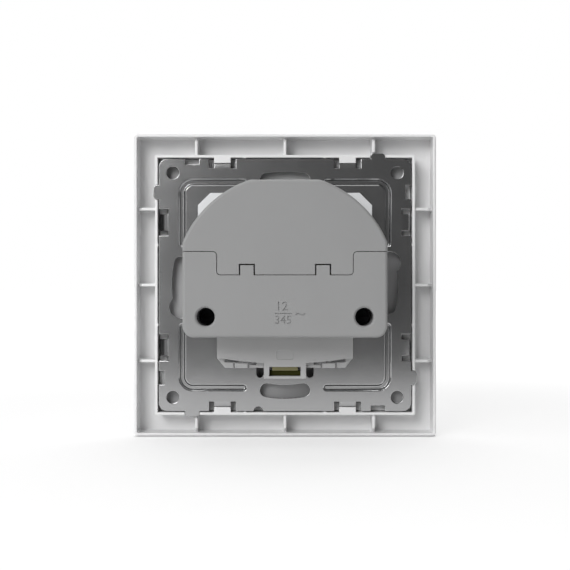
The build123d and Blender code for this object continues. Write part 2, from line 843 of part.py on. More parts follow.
def pin_contact(centre):
    """A contact for one pin: a foot on the base body, two leaves beside the pin and a link with
    a solder pin for the main board."""
    with BuildPart() as contact:
        with BuildSketch(at(base_rear + strip)):
            with Locations((centre, (contact_foot_top + contact_foot_bottom) / 2)):
                Rectangle(contact_foot_width, contact_foot_top - contact_foot_bottom)
            with Locations((centre, (contact_foot_top + link_top) / 2)):
                Rectangle(link_width, link_top - contact_foot_top)
            with Locations((centre, 0)):
                Circle(pin_bore / 2 + slip, mode=Mode.SUBTRACT)
        extrude(amount=strip)
        root = (contact_foot_width - strip) / 2
        pinch = pin_bore / 2 - leaf_pinch + strip / 2
        for way in (-1, 1):
            with BuildSketch(Plane.XY.offset(-leaf_height / 2)):
                with BuildLine():
                    Polyline(
                        (centre + way * root, base_rear + strip / 2),
                        (centre + way * root, base_rear + leaf_length / 3),
                        (centre + way * pinch, base_rear + 2 * leaf_length / 3),
                        (centre + way * root, base_rear + leaf_length),
                    )
                trace(line_width=strip)
            extrude(amount=leaf_height)
        with BuildSketch(at(board_rear + link_pin)):
            with Locations((centre, link_top - link_pin / 2)):
                Rectangle(link_pin, link_pin)
        extrude(amount=board_rear + link_pin - base_rear - strip)
    return contact.part


finish(pin_contact(-pin_x), "live_contact")
finish(pin_contact(pin_x), "neutral_contact")


def clamp_spring(centre):
    """A push-in spring: its back leg lies on the pedestal and its free leg points at the contact,
    away from the wire entries."""
    low = housing_bottom + cover_wall + spring_wall
    high = -leaf_height / 2 - 2 * strip
    back = pedestal_front - spring_wall / 2
    with BuildPart() as spring:
        with BuildSketch(Plane.YZ.offset(centre - spring_width / 2)):
            with BuildLine():
                Polyline(
                    (back, high),
                    (back, low + spring_wall),
                    (back - spring_wall, low),
                    (base_rear + strip + spring_wall, high - 2 * strip),
                )
            trace(line_width=spring_wall)
        extrude(amount=spring_width)
    return spring.part


finish(clamp_spring(-pin_x), "live_spring")
finish(clamp_spring(pin_x), "neutral_spring")

# Earth spring, the same kind of spring in front of the strap's foot
with BuildPart() as earth_spring:
    earth_back = strap_front - spring_wall / 2
    with BuildSketch(Plane.YZ.offset(-earth_spring_width / 2)):
        with BuildLine():
            Polyline(
                (earth_back, -arm_middle - strip / 2 - slip),
                (earth_back, strap_foot + 2 * spring_wall),
                (earth_back - spring_wall, strap_foot + spring_wall),
                (carrier_rear + spring_wall, -dish_outside - carrier_play - strip),
            )
        trace(line_width=spring_wall)
    extrude(amount=earth_spring_width)
finish(earth_spring.part, "earth_spring")


def screw(places, seat, thread, head, head_height, length):
    """Cylinder-head screws with one slot, heads behind or in front of their seat. A positive
    head height stands into the wall's side, a negative one towards the room."""
    with BuildPart() as screws:
        with BuildSketch(at(max(seat, seat + head_height))):
            with Locations(*places):
                Circle(head / 2)
        extrude(amount=abs(head_height))
        with BuildSketch(at(seat if head_height > 0 else seat + length)):
            with Locations(*places):
                Circle(thread / 2)
        extrude(amount=length)
        top = seat + head_height
        with BuildSketch(at(top if head_height > 0 else top + screw_slot_depth)):
            with Locations(*places):
                Rectangle(head, screw_slot_width)
        extrude(amount=screw_slot_depth, mode=Mode.SUBTRACT)
    return screws.part


four_places = [(x * carrier_screw_across, z * carrier_screw_up) for x in (-1, 1) for z in (-1, 1)]
finish(
    screw([(0, 0)], dish_floor_front, centre_screw_thread, centre_screw_head,
          -centre_screw_head_height, centre_screw_length),
    "centre_screw",
)
finish(
    screw(four_places, -plate_wall, carrier_screw_thread, carrier_screw_head,
          -carrier_screw_head_height, carrier_screw_length),
    "carrier_screws",
)
finish(
    screw(wells, well_floor, cover_screw_thread, cover_screw_head,
          cover_screw_head_height, cover_screw_length),
    "cover_screws",
)

# Charging ports: two shells and their tongues on a small board behind the front
port_places = ((-port_x, port_z), (port_x, port_z))

with BuildPart() as port_shells:
    with BuildSketch(at(port_rear)):
        with Locations(*port_places):
            RectangleRounded(port_outer_width, port_outer_height, 2 * port_wall)
            Rectangle(port_width, port_height, mode=Mode.SUBTRACT)
    extrude(amount=port_length)
finish(port_shells.part, "port_shells")

with BuildPart() as port_tongues:
    with BuildSketch(at(port_rear)):
        with Locations(*port_places):
            Rectangle(port_width, port_height)
    extrude(amount=port_block)
    with BuildSketch(at(port_rear - port_block)):
        with Locations(*[(x, z + tongue_plate_rise) for x, z in port_places]):
            Rectangle(tongue_plate_width, tongue_plate_height)
    extrude(amount=port_length - port_block - tongue_plate_recess)
finish(port_tongues.part, "port_tongues")

with BuildPart() as port_board:
    with BuildSketch(at(port_board_rear)):
        with Locations((0, port_z)):
            Rectangle(2 * (port_x + port_outer_width / 2), port_board_height)
        with Locations((0, header_height)):
            with GridLocations(header_pitch, 0, header_pins_count, 1):
                Rectangle(header_pin, header_pin, mode=Mode.SUBTRACT)
    extrude(amount=port_board_wall)
finish(port_board.part, "port_board")

with BuildPart() as board_header:
    with BuildSketch(at(port_board_rear + header_body_depth)):
        with Locations((0, header_height)):
            Rectangle(header_pitch * header_pins_count, header_pitch)
            with GridLocations(header_pitch, 0, header_pins_count, 1):
                Rectangle(header_pin, header_pin, mode=Mode.SUBTRACT)
    extrude(amount=header_body_depth)
finish(board_header.part, "board_header")

with BuildPart() as header_pins:
    with BuildSketch(at(board_rear + header_pin)):
        with Locations((0, header_height)):
            with GridLocations(header_pitch, 0, header_pins_count, 1):
                Rectangle(header_pin, header_pin)
    extrude(amount=board_rear + header_pin - port_rear)
finish(header_pins.part, "header_pins")

# Main board in the upper half of the housing
with BuildPart() as main_board:
    with BuildSketch(at(board_rear)):
        with Locations((0, (board_bottom + board_top) / 2)):
            Rectangle(2 * board_half, board_top - board_bottom)
        Circle(board_reach, mode=Mode.INTERSECT)
        with Locations((0, header_height)):
            with GridLocations(header_pitch, 0, header_pins_count, 1):
                Rectangle(header_pin, header_pin, mode=Mode.SUBTRACT)
        with Locations((-pin_x, link_top - link_pin / 2), (pin_x, link_top - link_pin / 2)):
            Rectangle(link_pin, link_pin, mode=Mode.SUBTRACT)
    extrude(amount=board_wall)
finish(main_board.part, "main_board")

# Transformer: a square core round the bobbin, which stands on the board
with BuildPart() as transformer_core:
    with BuildSketch(at(board_rear + core_rise + core_depth)):
        with Locations((0, spread * core_up)):
            Rectangle(core_width, core_height)
            Rectangle(bobbin_width, bobbin_height, mode=Mode.SUBTRACT)
    extrude(amount=core_depth)
finish(transformer_core.part, "transformer_core")

with BuildPart() as transformer_bobbin:
    with BuildSketch(at(board_rear + bobbin_depth)):
        with Locations((0, spread * core_up)):
            Rectangle(bobbin_width - 2 * slip, bobbin_height - 2 * slip)
    extrude(amount=bobbin_depth)
    for flange_rear, flange_depth in (
        (board_rear + core_rise, core_rise),
        (board_rear + bobbin_depth, flange_wall),
    ):
        with BuildSketch(at(flange_rear)):
            with Locations((0, spread * core_up)):
                Rectangle(core_width - 2 * flange_inset, core_height - 2 * flange_inset)
        extrude(amount=flange_depth)
finish(transformer_bobbin.part, "transformer_bobbin")

# Smoothing and output capacitors and the choke, round cans that stand on the board
with BuildPart() as smoothing_cans:
    with BuildSketch(at(board_rear + can_length)):
        with Locations(*[(spread * x, spread * can_up) for x in (can_across, can_across + can_spacing)]):
            Circle(can_radius)
    extrude(amount=can_length)
    chamfer(smoothing_cans.faces().group_by(Axis.Y)[-1].edges(), spring_wall)
finish(smoothing_cans.part, "smoothing_cans")

with BuildPart() as output_can:
    with BuildSketch(at(board_rear + output_can_length)):
        with Locations((spread * output_can_across, spread * output_can_up)):
            Circle(output_can_radius)
    extrude(amount=output_can_length)
    chamfer(output_can.faces().sort_by(Axis.Y)[-1].edges(), spring_wall)
finish(output_can.part, "output_can")

with BuildPart() as choke:
    with BuildSketch(at(board_rear + choke_length)):
        with Locations((spread * choke_across, spread * choke_up)):
            Circle(choke_radius)
    extrude(amount=choke_length)
    with BuildSketch(at(board_rear + choke_length - flange_wall)):
        with Locations((spread * choke_across, spread * choke_up)):
            Circle(choke_radius)
            Circle(choke_radius - flange_inset, mode=Mode.SUBTRACT)
    extrude(amount=choke_length - 2 * flange_wall, mode=Mode.SUBTRACT)
finish(choke.part, "choke")

with BuildPart() as controller_chip:
    with BuildSketch(at(board_rear + chip_depth)):
        with Locations((spread * chip_across, spread * chip_up)):
            Rectangle(chip_width, chip_height)
    extrude(amount=chip_depth)
    chamfer(controller_chip.faces().sort_by(Axis.Y)[-1].edges(), spring_wall)
finish(controller_chip.part, "controller_chip")

with BuildPart() as rectifier:
    with BuildSketch(at(board_rear + rectifier_depth)):
        with Locations((spread * rectifier_across, spread * rectifier_up)):
            Rectangle(rectifier_width, rectifier_height)
    extrude(amount=rectifier_depth)
    chamfer(rectifier.faces().sort_by(Axis.Y)[-1].edges(), spring_wall)
finish(rectifier.part, "rectifier")

with BuildPart() as fuse:
    with BuildSketch(Plane.YZ.offset(fuse_across - fuse_length / 2)):
        with Locations((board_rear + fuse_radius, fuse_up)):
            Circle(fuse_radius)
    extrude(amount=fuse_length)
finish(fuse.part, "fuse")
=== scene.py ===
# %% [markdown]
# # A wall socket with charging ports, seen from behind
#
# The solids of this wall socket come from its construction file. Here they get their looks: edges
# that catch light, a mark in the housing, a shelf behind the plate's slots, contacts in the ports
# and a finish for every material. Then they stand on a pale table, as in the photograph, with the
# camera level with their middle.
# Lengths are in metres. X and Z span the wall, and +Y runs into it, towards the camera.

# %% Load the solids
import json
from math import radians

import bpy
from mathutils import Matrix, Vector

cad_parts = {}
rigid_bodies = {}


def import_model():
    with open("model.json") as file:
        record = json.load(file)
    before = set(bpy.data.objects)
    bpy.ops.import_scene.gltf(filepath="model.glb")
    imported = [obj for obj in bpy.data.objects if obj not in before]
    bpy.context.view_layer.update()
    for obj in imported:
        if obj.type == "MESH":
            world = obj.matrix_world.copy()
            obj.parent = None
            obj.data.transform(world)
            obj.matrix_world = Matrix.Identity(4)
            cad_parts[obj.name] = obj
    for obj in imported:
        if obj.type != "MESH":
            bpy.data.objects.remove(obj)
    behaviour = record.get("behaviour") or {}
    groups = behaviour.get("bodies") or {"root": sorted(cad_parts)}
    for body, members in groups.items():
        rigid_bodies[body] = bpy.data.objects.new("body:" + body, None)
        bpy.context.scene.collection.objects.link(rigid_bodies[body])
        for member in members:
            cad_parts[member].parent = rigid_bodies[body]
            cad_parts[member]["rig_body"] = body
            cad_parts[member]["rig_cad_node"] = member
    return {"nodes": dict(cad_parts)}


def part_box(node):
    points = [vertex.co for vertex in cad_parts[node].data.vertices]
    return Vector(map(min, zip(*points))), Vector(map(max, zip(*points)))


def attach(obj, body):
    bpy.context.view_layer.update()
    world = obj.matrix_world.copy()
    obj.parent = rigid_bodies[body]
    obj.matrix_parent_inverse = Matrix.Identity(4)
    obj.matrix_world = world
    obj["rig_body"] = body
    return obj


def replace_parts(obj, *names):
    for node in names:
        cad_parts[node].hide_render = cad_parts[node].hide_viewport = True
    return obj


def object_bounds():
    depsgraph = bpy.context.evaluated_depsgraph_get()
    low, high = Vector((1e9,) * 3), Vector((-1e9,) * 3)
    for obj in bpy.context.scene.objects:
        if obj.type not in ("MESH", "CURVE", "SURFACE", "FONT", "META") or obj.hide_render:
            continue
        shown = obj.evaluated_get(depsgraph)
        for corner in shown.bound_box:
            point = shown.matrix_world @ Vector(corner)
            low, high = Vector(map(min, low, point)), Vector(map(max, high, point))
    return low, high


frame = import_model()
solid = frame["nodes"]
solid_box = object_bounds()
lowest, highest = solid_box
mm = 0.001
print(len(solid), "solids, from", *[round(v / mm, 1) for corner in solid_box for v in corner], "mm")

# %% [markdown]
# ## Rounded edges
#
# A moulded or pressed edge is never quite sharp: it shows as a thin light or dark line. The solids
# have knife edges, so each one that shows is copied, its loose triangles are merged, flat
# neighbours are dissolved into one face, and a Bevel modifier rounds what is left. The frame's
# rear rim is rounder on the real one, so its edges are bevelled in edit mode first. A Weighted
# Normal modifier then lets the largest face at each corner set the normal, so flats stay flat.

# %% Helpers for selecting and finishing a piece
sharp_angle = radians(38)


def only(piece):
    """Select one object and nothing else, in object mode."""
    bpy.ops.object.select_all(action="DESELECT")
    piece.select_set(True)
    bpy.context.view_layer.objects.active = piece
    return piece


def apply_modifiers(piece):
    """Apply all of a piece's modifiers, in order."""
    only(piece)
    for modifier in list(piece.modifiers):
        bpy.ops.object.modifier_apply(modifier=modifier.name)


def weigh_normals(piece):
    """Let the largest face at each corner set the normal there, and keep sharp edges sharp."""
    only(piece)
    bpy.ops.mesh.customdata_custom_splitnormals_clear()
    bpy.ops.object.shade_smooth_by_angle(angle=sharp_angle)
    keep_flat = piece.modifiers.new("keep_flat", "WEIGHTED_NORMAL")
    keep_flat.weight = 100
    keep_flat.keep_sharp = True
    apply_modifiers(piece)


def carve(piece, cutter):
    """Cut one piece's shape out of another by a Boolean modifier, and drop the cutter."""
    only(piece)
    cut = piece.modifiers.new("cut", "BOOLEAN")
    cut.operation = "DIFFERENCE"
    cut.solver = "EXACT"
    cut.object = cutter
    apply_modifiers(piece)
    weigh_normals(piece)
    only(cutter)
    bpy.ops.object.delete()


def soften(piece, width):
    """Round all sharp edges of a small piece in two steps."""
    rounding = piece.modifiers.new("soften", "BEVEL")
    rounding.width = width
    rounding.segments = 2
    apply_modifiers(piece)


def block(name, middle, size):
    """A block made from a cube, about its middle."""
    bpy.ops.object.select_all(action="DESELECT")
    bpy.ops.mesh.primitive_cube_add(size=1, location=middle)
    made = bpy.context.object
    made.name = name
    made.dimensions = size
    bpy.ops.object.transform_apply(location=True, rotation=True, scale=True)
    return made


def settle(piece):
    """Apply a piece's place and let it ride on the part."""
    only(piece)
    bpy.ops.object.transform_apply(location=True, rotation=True, scale=True)
    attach(piece, "root")
    return piece


print("helpers ready")

# %% Round the edges of the solids that show
merge_distance = 0.002 * mm
flat_angle = radians(0.6)
rim_rounding = 0.45 * mm
rim_slack = 0.02 * mm
level_slack = 0.01 * mm


def round_rim(piece, reach, width):
    """Round the edges round the outside of a piece's rear face, whose corners lie beyond reach."""
    mesh = piece.data
    bpy.ops.mesh.select_mode(type="EDGE")
    bpy.ops.mesh.select_all(action="DESELECT")
    bpy.ops.object.mode_set(mode="OBJECT")
    for edge in mesh.edges:
        ends = [mesh.vertices[index].co for index in edge.vertices]
        in_rear_face = all(abs(end.y) < level_slack for end in ends)
        edge.select = in_rear_face and all(max(abs(end.x), abs(end.z)) > reach for end in ends)
    print("rim edges:", sum(edge.select for edge in mesh.edges))
    bpy.ops.object.mode_set(mode="EDIT")
    bpy.ops.mesh.bevel(offset=width, segments=4, affect="EDGES", clamp_overlap=False)


def rounded(node, width):
    """A copy of a solid with its sharp edges rounded, in the solid's place."""
    only(solid[node])
    bpy.ops.object.duplicate()
    piece = bpy.context.object
    piece.name = node + "_rounded"
    piece.data.name = piece.name
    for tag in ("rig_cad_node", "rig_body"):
        del piece[tag]
    bpy.ops.object.parent_clear(type="CLEAR_KEEP_TRANSFORM")
    bpy.ops.object.mode_set(mode="EDIT")
    bpy.ops.mesh.select_all(action="SELECT")
    bpy.ops.mesh.remove_doubles(threshold=merge_distance)
    bpy.ops.mesh.dissolve_limited(angle_limit=flat_angle)
    if node == "cover_frame":
        round_rim(piece, highest[0] - rim_slack, rim_rounding)
    bpy.ops.object.mode_set(mode="OBJECT")
    round_over = piece.modifiers.new("round_over", "BEVEL")
    round_over.width = width
    round_over.segments = 2
    round_over.limit_method = "ANGLE"
    round_over.angle_limit = sharp_angle
    round_over.use_clamp_overlap = False
    apply_modifiers(piece)
    # Where short edges meet, a rounding can overshoot: no corner leaves the solid's own box
    low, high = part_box(node)
    for vertex in piece.data.vertices:
        vertex.co = [min(max(at, least), most) for at, least, most in zip(vertex.co, low, high)]
    weigh_normals(piece)
    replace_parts(settle(piece), node)
    return piece


shown = {
    "cover_frame": (0.2 * mm, "white_gloss_plastic"),
    "socket_insert": (0.08 * mm, "white_gloss_plastic"),
    "contact_carrier": (0.12 * mm, "white_carrier_plastic"),
    "mounting_plate": (0.14 * mm, "zinc_steel"),
    "base_body": (0.1 * mm, "grey_plastic"),
    "rear_cover_lower": (0.06 * mm, "grey_plastic"),
    "rear_cover_upper": (0.06 * mm, "grey_plastic"),
    "earth_strap": (0.06 * mm, "brass"),
}
pieces = {node: rounded(node, width) for node, (width, slot_name) in shown.items()}
for node, piece in pieces.items():
    print(node, len(piece.data.polygons), "faces")

# %% [markdown]
# ## A mark in the housing
#
# The rear housing carries a small shallow mark: plain numbers over and under a bar, and a wave sign
# beside it. Each sign is a text object, given a little depth and made a mesh. They are joined and
# cut from the housing by a Boolean modifier, and the normals are weighted again afterwards.

# %% Cut the mark
facing_out = (radians(90), 0, radians(180))
housing_rear = highest[1]
mark_depth = 0.25 * mm


def sign(body, across, up, size):
    """A text object in the housing's rear face, as a mesh, centred on a point of it."""
    bpy.ops.object.select_all(action="DESELECT")
    bpy.ops.object.text_add(location=(across, housing_rear, up), rotation=facing_out)
    text = bpy.context.object
    text.data.body = body
    text.data.size = size
    text.data.extrude = mark_depth
    text.data.resolution_u = 4
    text.data.align_x = "CENTER"
    text.data.align_y = "CENTER"
    bpy.ops.object.convert(target="MESH")
    made = bpy.context.object
    bpy.ops.object.mode_set(mode="EDIT")
    bpy.ops.mesh.select_all(action="SELECT")
    bpy.ops.mesh.remove_doubles(threshold=0.001 * mm)
    bpy.ops.mesh.normals_make_consistent(inside=False)
    bpy.ops.object.mode_set(mode="OBJECT")
    bpy.ops.object.transform_apply(location=True, rotation=True, scale=True)
    return made


signs = [
    sign("12", 0.8 * mm, -5.6 * mm, 3.3 * mm),
    sign("345", 0.4 * mm, -9.1 * mm, 3.0 * mm),
    sign("~", -4.0 * mm, -7.4 * mm, 4.6 * mm),
]
block("bar", (0.4 * mm, housing_rear, -7.35 * mm), (4.4 * mm, 2 * mark_depth, 0.22 * mm))
for piece in signs:
    piece.select_set(True)
bpy.ops.object.join()
stamp = bpy.context.object
stamp.name = "stamp"

lower_cover = pieces["rear_cover_lower"]
before = len(lower_cover.data.polygons)
carve(lower_cover, stamp)
print("mark cut:", before, "faces before and", len(lower_cover.data.polygons), "after")

# %% [markdown]
# ## A shelf behind the plate's slots, and a jaw in the window
#
# Through the plate's slots and holes the photograph shows an even surface a little way behind. It
# is a square shelf round the insert. Above it the insert's wall is cut back, which leaves room for
# the heads of the box screws. Below the earth strap a near-black block, shaped as the jaw of its
# clamp, closes the window a step farther in: it is a painted shade for the deep window there.

# %% Cut the wall back, add the shelf and the jaw
plate_front = -1.0 * mm
head_room = 2.6 * mm
cut_start = 0.5 * mm
cut_past_shelf = 0.2 * mm
shelf_half = 35.6 * mm
shelf_width = 8.4 * mm
shelf_depth = 1.0 * mm


def square_ring(name, rear, depth):
    """A square ring round the middle, made from a plane: inset, hollowed and extruded."""
    bpy.ops.object.select_all(action="DESELECT")
    bpy.ops.mesh.primitive_plane_add(
        size=2 * shelf_half, location=(0, rear, 0), rotation=(radians(90), 0, 0)
    )
    ring = bpy.context.object
    ring.name = name
    bpy.ops.object.transform_apply(location=True, rotation=True, scale=True)
    bpy.ops.object.mode_set(mode="EDIT")
    bpy.ops.mesh.select_all(action="SELECT")
    bpy.ops.mesh.inset(thickness=shelf_width)
    bpy.ops.mesh.delete(type="FACE")
    bpy.ops.mesh.select_all(action="SELECT")
    bpy.ops.mesh.extrude_region_move(TRANSFORM_OT_translate={"value": (0, -depth, 0)})
    bpy.ops.mesh.select_all(action="SELECT")
    bpy.ops.mesh.normals_make_consistent(inside=False)
    bpy.ops.object.mode_set(mode="OBJECT")
    return ring


cutter = square_ring("head_room", plate_front + cut_start, cut_start + head_room + cut_past_shelf)
carve(pieces["socket_insert"], cutter)
shelf = square_ring("insert_shelf", plate_front - head_room, shelf_depth)
settle(shelf)

# The jaw is dressed near-black further down: a painted shade for the deep window below the strap.
shade_jaw = block("earth_jaw_painted_shade", (0, 10.0 * mm, -24.15 * mm), (8.4 * mm, 0.8 * mm, 1.7 * mm))
soften(shade_jaw, 0.1 * mm)
settle(shade_jaw)
print("shelf", [round(v / mm, 2) for v in shelf.dimensions], "mm")

# %% [markdown]
# ## Contacts in the ports
#
# Each port's tongue carries four flat contacts on its underside. One is modelled: a thin strip
# whose front end bends up round the tongue's edge, with its edges rounded. The other seven are
# copies with a mesh of their own.

# %% Model one contact and copy it
tongue_low, tongue_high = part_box("port_tongues")
half_between_ports = 0.6 * mm
port_middle = (tongue_high[0] + half_between_ports) / 2
tongue_under = (tongue_high[2] + tongue_low[2]) / 2 + 0.08 * mm
contact_size = (1.0 * mm, 6.6 * mm, 0.12 * mm)
contact_front = tongue_low[1] + 0.9 * mm
contact_steps = (-3.5, -1.0, 1.0, 3.5)
contact_middle = (0, contact_front + contact_size[1] / 2, tongue_under - contact_size[2] / 2)

contact = block("contact", contact_middle, contact_size)
bpy.ops.object.mode_set(mode="EDIT")
bpy.ops.mesh.select_mode(type="FACE")
bpy.ops.mesh.select_all(action="DESELECT")
bpy.ops.object.mode_set(mode="OBJECT")
for face in contact.data.polygons:
    face.select = face.normal.y < -0.9
bpy.ops.object.mode_set(mode="EDIT")
bpy.ops.mesh.extrude_region_move(TRANSFORM_OT_translate={"value": (0, -0.35 * mm, 0.05 * mm)})
bpy.ops.mesh.extrude_region_move(TRANSFORM_OT_translate={"value": (0, -0.15 * mm, 0.14 * mm)})
bpy.ops.object.mode_set(mode="OBJECT")
soften(contact, 0.03 * mm)

contacts = []
for side in (-1, 1):
    for step in contact_steps:
        only(contact)
        bpy.ops.object.duplicate()
        copy = bpy.context.object
        copy.name = f"port_contact_{len(contacts) + 1}"
        copy.data.name = copy.name
        copy.location.x = side * port_middle + step * mm
        contacts.append(settle(copy))
only(contact)
bpy.ops.object.delete()
print(len(contacts), "contacts under the tongues")

# %% [markdown]
# ## Shader maths
#
# A finish is a small network of nodes. Writing the maths as Python expressions keeps it readable:
# a Signal wraps one output of a node, and adding or multiplying two of them adds a Math node.
# Any other node comes from one method, which takes the node's type, its settings and its inputs.

# %% Signals and finishes


class Signal:
    """One output socket that carries a number over the surface."""

    def __init__(self, finish, socket):
        self.finish = finish
        self.socket = socket

    def maths(self, operation, first, second):
        node = self.finish.node("ShaderNodeMath", {"operation": operation}, {0: first, 1: second})
        return Signal(self.finish, node.outputs[0])

    def __add__(self, other):
        return self.maths("ADD", self, other)

    def __radd__(self, other):
        return self.maths("ADD", other, self)

    def __sub__(self, other):
        return self.maths("SUBTRACT", self, other)

    def __rsub__(self, other):
        return self.maths("SUBTRACT", other, self)

    def __mul__(self, other):
        return self.maths("MULTIPLY", self, other)

    def __rmul__(self, other):
        return self.maths("MULTIPLY", other, self)

    def __gt__(self, other):
        return self.maths("GREATER_THAN", self, other)

    def __lt__(self, other):
        return self.maths("LESS_THAN", self, other)


class Finish:
    """A material with one main shader, and the method that adds every other node."""

    def __init__(self, name, **constants):
        self.material = bpy.data.materials.new(name)
        self.material.use_nodes = True
        self.tree = self.material.node_tree
        self.tree.nodes.clear()
        self.shader = self.node("ShaderNodeBsdfPrincipled")
        self.output = self.node("ShaderNodeOutputMaterial")
        self.tree.links.new(self.shader.outputs[0], self.output.inputs["Surface"])
        for socket, value in constants.items():
            self.shader.inputs[socket.replace("_", " ")].default_value = value
        self.place = self.node("ShaderNodeTexCoord").outputs["Object"]

    def node(self, kind, settings=None, inputs=None):
        """A new node, with its settings made and its inputs linked or set."""
        made = self.tree.nodes.new(kind)
        for name, value in (settings or {}).items():
            setattr(made, name, value)
        for name, value in (inputs or {}).items():
            socket = made.inputs[name]
            if isinstance(value, Signal):
                value = value.socket
            if isinstance(value, bpy.types.NodeSocket):
                self.tree.links.new(value, socket)
            else:
                socket.default_value = value
        return made

    def stretched(self, scale):
        """Object coordinates, multiplied along X, Y and Z."""
        return self.node("ShaderNodeMapping", {}, {"Vector": self.place, "Scale": scale}).outputs[0]

    def noise(self, size, detail=2.0, roughness=0.5, place=None):
        """Clouds whose patches are about size across, as a Signal from 0 to 1."""
        inputs = {"Vector": place or self.place, "Scale": 1 / size}
        inputs.update({"Detail": detail, "Roughness": roughness})
        return Signal(self, self.node("ShaderNodeTexNoise", {}, inputs).outputs["Fac"])

    def cells(self, size):
        """Distance to the nearest of many scattered points, about size apart."""
        inputs = {"Vector": self.place, "Scale": 1 / size}
        return Signal(self, self.node("ShaderNodeTexVoronoi", {}, inputs).outputs["Distance"])

    def length(self, place):
        """How far a point is from the middle, as a Signal."""
        made = self.node("ShaderNodeVectorMath", {"operation": "LENGTH"}, {0: place})
        return Signal(self, made.outputs["Value"])

    def zone(self, **limits):
        """1 where each coordinate that is named lies between its two limits, and 0 elsewhere."""
        axes = self.node("ShaderNodeSeparateXYZ", {}, {0: self.place}).outputs
        inside = None
        for axis, (low, high) in limits.items():
            mark = (Signal(self, axes[axis]) > low) * (Signal(self, axes[axis]) < high)
            inside = mark if inside is None else inside * mark
        return inside

    def blend(self, share, first, second):
        """One colour where share is 0 and the other where it is 1."""
        made = self.node("ShaderNodeMix", {"data_type": "RGBA"}, {"Factor": share})
        colour_sockets = made.inputs[6:8]
        for socket, colour in zip(colour_sockets, (first, second)):
            if isinstance(colour, bpy.types.NodeSocket):
                self.tree.links.new(colour, socket)
            else:
                socket.default_value = (*colour, 1)
        return made.outputs[2]

    def feed(self, socket, value):
        """Link a colour or a Signal to a socket of the main shader."""
        if isinstance(value, Signal):
            value = value.socket
        self.tree.links.new(value, self.shader.inputs[socket])

    def relief(self, height, depth):
        """Dents and bumps that only the light sees."""
        inputs = {"Height": height, "Distance": depth, "Strength": 1.0}
        self.feed("Normal", self.node("ShaderNodeBump", {}, inputs).outputs[0])

    def dress(self, *objects):
        """Give this finish to pieces, instead of what they had."""
        for piece in objects:
            piece.data.materials.clear()
            piece.data.materials.append(self.material)


print("shader maths ready")

# %% [markdown]
# ## White mouldings
#
# The frame and the front are white thermoplastic. Even a fresh moulding isn't one flat colour: it
# is a shade darker where it cooled slowly, its gloss wanders a little, and the mould's own grain
# breaks up the reflection. The inner side of the front, which the plate's openings look on to, gets
# a painted shade: a darker grey for the shade that falls there.

# %% White finishes


def moulding(name, pale, dark, gloss, grain, depth, patch=14 * mm):
    """A moulded plastic: two close shades in clouds, a wandering gloss and a fine grain."""
    finish = Finish(name, IOR=1.5)
    clouds = finish.noise(patch, detail=3.0)
    finish.feed("Base Color", finish.blend(clouds, dark, pale))
    speck = finish.noise(grain, detail=1.0)
    finish.feed("Roughness", speck * 0.1 + clouds * 0.08 + gloss)
    finish.relief(speck + finish.cells(2.2 * grain) * 0.5, depth)
    return finish


glossy_white = ((0.83, 0.83, 0.835), (0.79, 0.79, 0.79), 0.24, 0.35 * mm, 0.004 * mm)
white_moulding = moulding("white_moulding", *glossy_white)
white_moulding.dress(pieces["cover_frame"])

inner_half = 33.4 * mm
dish_wall = 21.8 * mm
front_skin = -8.8 * mm
insert_moulding = moulding("insert_moulding", *glossy_white)
from_axis = insert_moulding.length(insert_moulding.stretched((1, 0, 1)))
square = (-inner_half, inner_half)
# Inside the dish wall and behind the front, the insert and the shelf get a painted shade: a darker
# grey for the shade that falls behind the plate.
painted_shade_inside = insert_moulding.zone(X=square, Y=(front_skin, 0), Z=square) * (from_axis > dish_wall)
outer_colour = insert_moulding.shader.inputs["Base Color"].links[0].from_socket
painted_shade_colour = insert_moulding.blend(painted_shade_inside, outer_colour, (0.45, 0.45, 0.455))
insert_moulding.feed("Base Color", painted_shade_colour)
insert_moulding.dress(pieces["socket_insert"], shelf)
carrier_moulding = moulding(
    "carrier_moulding", (0.74, 0.75, 0.76), (0.69, 0.70, 0.71), 0.34, 0.3 * mm, 0.005 * mm
)
carrier_moulding.dress(pieces["contact_carrier"])
print("white mouldings dressed")

# %% [markdown]
# ## Grey mouldings
#
# The housing and the base body are grey, with the fine even texture that a spark-eroded mould
# leaves. It hides flow marks and scatters the light, so the housing's back looks flat grey.

# %% Grey finish
housing_grey = moulding(
    "housing_grey", (0.294, 0.295, 0.296), (0.272, 0.273, 0.274), 0.42, 0.22 * mm, 0.012 * mm
)
housing_grey.dress(pieces["rear_cover_lower"], pieces["rear_cover_upper"])
base_grey = moulding(
    "base_grey", (0.45, 0.451, 0.452), (0.42, 0.421, 0.422), 0.4, 0.22 * mm, 0.012 * mm
)
base_grey.dress(pieces["base_body"])
print("grey mouldings dressed")

# %% [markdown]
# ## Zinc-plated sheet
#
# The mounting plate is pressed from rolled steel and zinc plated. Rolling leaves fine lines along
# the strip, and the plating makes a soft, slightly cloudy mirror. On the lamps' side the sprung
# tongues, where they bend down in the two windows there, get a painted shade: a near-black colour.

# %% Plate finish
tongue_reach = (33.0 * mm, 35.4 * mm)
tongue_depth = (-5 * mm, -0.05 * mm)
upper_tongue = (15.2 * mm, 20.0 * mm)
lower_tongue = (-20.0 * mm, -15.2 * mm)
zinc_sheet = Finish("zinc_sheet", Metallic=1.0)
rolled = zinc_sheet.stretched((0.06, 1.0, 1.0))
lines = zinc_sheet.noise(0.12 * mm, detail=2.0, place=rolled)
bloom = zinc_sheet.noise(6 * mm, detail=3.0)
zinc_colour = zinc_sheet.blend(bloom, (0.40, 0.401, 0.404), (0.44, 0.441, 0.444))
